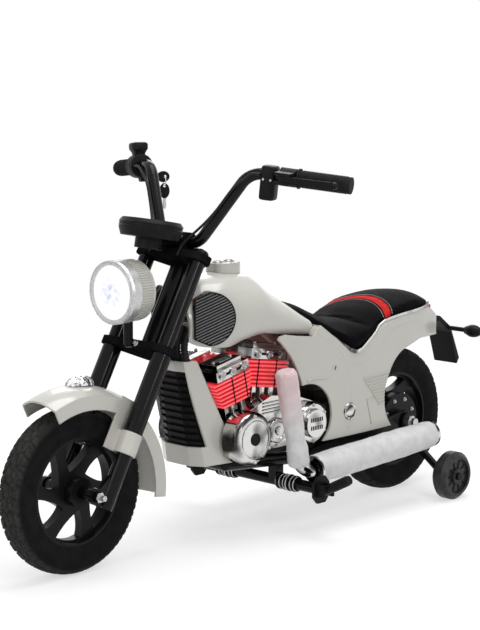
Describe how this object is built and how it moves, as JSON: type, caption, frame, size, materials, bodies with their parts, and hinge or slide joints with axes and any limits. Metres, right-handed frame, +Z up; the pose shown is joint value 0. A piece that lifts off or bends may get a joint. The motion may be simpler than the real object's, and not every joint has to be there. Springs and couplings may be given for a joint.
{
  "type": "kids electric motorbike",
  "caption": "Child's white battery chopper with a high handlebar, round headlight, red-lit engine dummy, long saddle and stabiliser wheels.",
  "frame": {"origin": "on the ground below the middle of the bounding box", "axes": "+X forward, +Y to the rider's left, +Z up"},
  "size_m": [1.2486, 0.6272, 0.7523],
  "materials": {
    "white_gloss": "gloss moulded white",
    "black_paint": "satin black powder coat",
    "black_plastic": "fine-grained black",
    "wheel_black": "satin moulded black",
    "tyre_black": "treaded foam rubber",
    "grip_rubber": "knurled",
    "bright_trim": "plated",
    "zinc_steel": "zinc plated",
    "lamp_clear": "clear ribbed lens",
    "lamp_red": "red lens",
    "fin_red": "red translucent, lit from inside",
    "seat_leather": "grained black with red panels",
    "foam_white": "soft white foam",
    "cord_black": "smooth sheath"
  },
  "bodies": {
    "chassis": {"frame_neck": "black_paint", "frame_rails": "black_paint", "rear_axle": "zinc_steel", "tank_shell": "white_gloss", "tank_grilles": "black_plastic", "control_panel": "white_gloss", "side_cover_left": "white_gloss", "side_cover_right": "white_gloss", "seat_pan": "black_plastic", "seat_cushion": "seat_leather", "seat_trim": "bright_trim", "tail_light": "lamp_red", "plate_bracket": "black_plastic", "turn_signals": "black_plastic", "radiator_cowl": "white_gloss", "radiator_grille": "black_plastic", "crankcase": "bright_trim", "cylinders": "fin_red", "cylinder_heads": "bright_trim", "engine_covers": "bright_trim", "battery_pack": "black_plastic", "controller_box": "black_plastic", "exhaust_pipes": "bright_trim", "foam_sleeves": "foam_white", "footrest_bar": "black_paint", "peg_brackets": "black_plastic", "stabiliser_arms": "black_paint"},
    "front_end": {"fork_legs": "black_paint", "fork_sleeves": "black_plastic", "lower_clamp": "black_paint", "upper_clamp": "black_paint", "front_axle": "zinc_steel", "front_fender": "white_gloss", "fender_lamp": "lamp_clear", "headlight_bucket": "white_gloss", "headlight_bezel": "bright_trim", "headlight_lens": "lamp_clear", "headlight_bracket": "black_paint", "handlebar": "black_paint", "gauge_pod": "black_plastic", "left_grip": "grip_rubber", "throttle_housing": "black_plastic", "lever_perch": "black_plastic", "switch_box": "black_plastic", "control_cables": "cord_black"},
    "front_wheel": {"front_tyre": "tyre_black", "front_rim": "wheel_black"},
    "rear_wheel": {"rear_tyre": "tyre_black", "rear_rim": "wheel_black"},
    "stabiliser_wheel_left": {"training_wheel_left": "wheel_black"},
    "stabiliser_wheel_right": {"training_wheel_right": "wheel_black"},
    "throttle": {"throttle_grip": "grip_rubber"},
    "lever": {"brake_lever": "black_paint"},
    "key": {"ignition_key": "black_plastic"},
    "spare": {"spare_key": "black_plastic"},
    "horn": {"horn_button": "black_plastic"},
    "front_button": {"panel_button_front": "bright_trim"},
    "rear_button": {"panel_button_rear": "bright_trim"},
    "left_peg": {"peg_left": "black_plastic"},
    "right_peg": {"peg_right": "black_plastic"}
  },
  "joints": [
    {"name": "steering", "type": "hinge", "parent": "chassis", "child": "front_end", "pos_m": [0.23048, 0, 0.45663], "axis": [-0.4894, 0, 0.8721], "range_deg": [-25, 25]},
    {"name": "front_wheel_spin", "type": "hinge", "parent": "front_end", "child": "front_wheel", "pos_m": [0.4723, 0, 0.152], "axis": [0, 1, 0], "continuous": true},
    {"name": "rear_wheel_spin", "type": "hinge", "parent": "chassis", "child": "rear_wheel", "pos_m": [-0.4167, 0, 0.152], "axis": [0, 1, 0], "continuous": true},
    {"name": "left_stabiliser_spin", "type": "hinge", "parent": "chassis", "child": "stabiliser_wheel_left", "pos_m": [-0.4323, 0.163, 0.05], "axis": [0, 1, 0], "continuous": true},
    {"name": "right_stabiliser_spin", "type": "hinge", "parent": "chassis", "child": "stabiliser_wheel_right", "pos_m": [-0.4323, -0.163, 0.05], "axis": [0, 1, 0], "continuous": true},
    {"name": "throttle_twist", "type": "hinge", "parent": "front_end", "child": "throttle", "pos_m": [0.08486, -0.26182, 0.69725], "axis": [-0.4157, -0.9036, -0.1033], "range_deg": [0, 65], "stiffness_Nm_per_rad": 0.25},
    {"name": "brake_pull", "type": "hinge", "parent": "front_end", "child": "lever", "pos_m": [0.14843, 0.21552, 0.70438], "axis": [-0.0432, 0.0938, 0.9947], "range_deg": [0, 7], "stiffness_Nm_per_rad": 1.2},
    {"name": "key_turn", "type": "hinge", "parent": "front_end", "child": "key", "pos_m": [0.08367, -0.17994, 0.6828], "axis": [-0.9085, 0.4179, 0], "range_deg": [0, 90]},
    {"name": "spare_key_swing", "type": "hinge", "parent": "key", "child": "spare", "pos_m": [0.06928, -0.17332, 0.6828], "axis": [-0.9085, 0.4179, 0], "range_deg": [-20, 20]},
    {"name": "horn_press", "type": "slide", "parent": "front_end", "child": "horn", "axis": [0.9085, 0.4179, 0], "range_m": [0, 0.002], "stiffness_N_per_m": 400},
    {"name": "front_button_press", "type": "slide", "parent": "chassis", "child": "front_button", "axis": [0, 0, -1], "range_m": [0, 0.002], "stiffness_N_per_m": 400},
    {"name": "rear_button_press", "type": "slide", "parent": "chassis", "child": "rear_button", "axis": [0, 0, -1], "range_m": [0, 0.002], "stiffness_N_per_m": 400},
    {"name": "left_peg_fold", "type": "hinge", "parent": "chassis", "child": "left_peg", "pos_m": [-0.0172, 0.1791, 0.094], "axis": [1, 0, 0], "range_deg": [-27.5, 55]},
    {"name": "right_peg_fold", "type": "hinge", "parent": "chassis", "child": "right_peg", "pos_m": [-0.0172, -0.1791, 0.094], "axis": [-1, 0, 0], "range_deg": [-27.5, 55]}
  ]
}
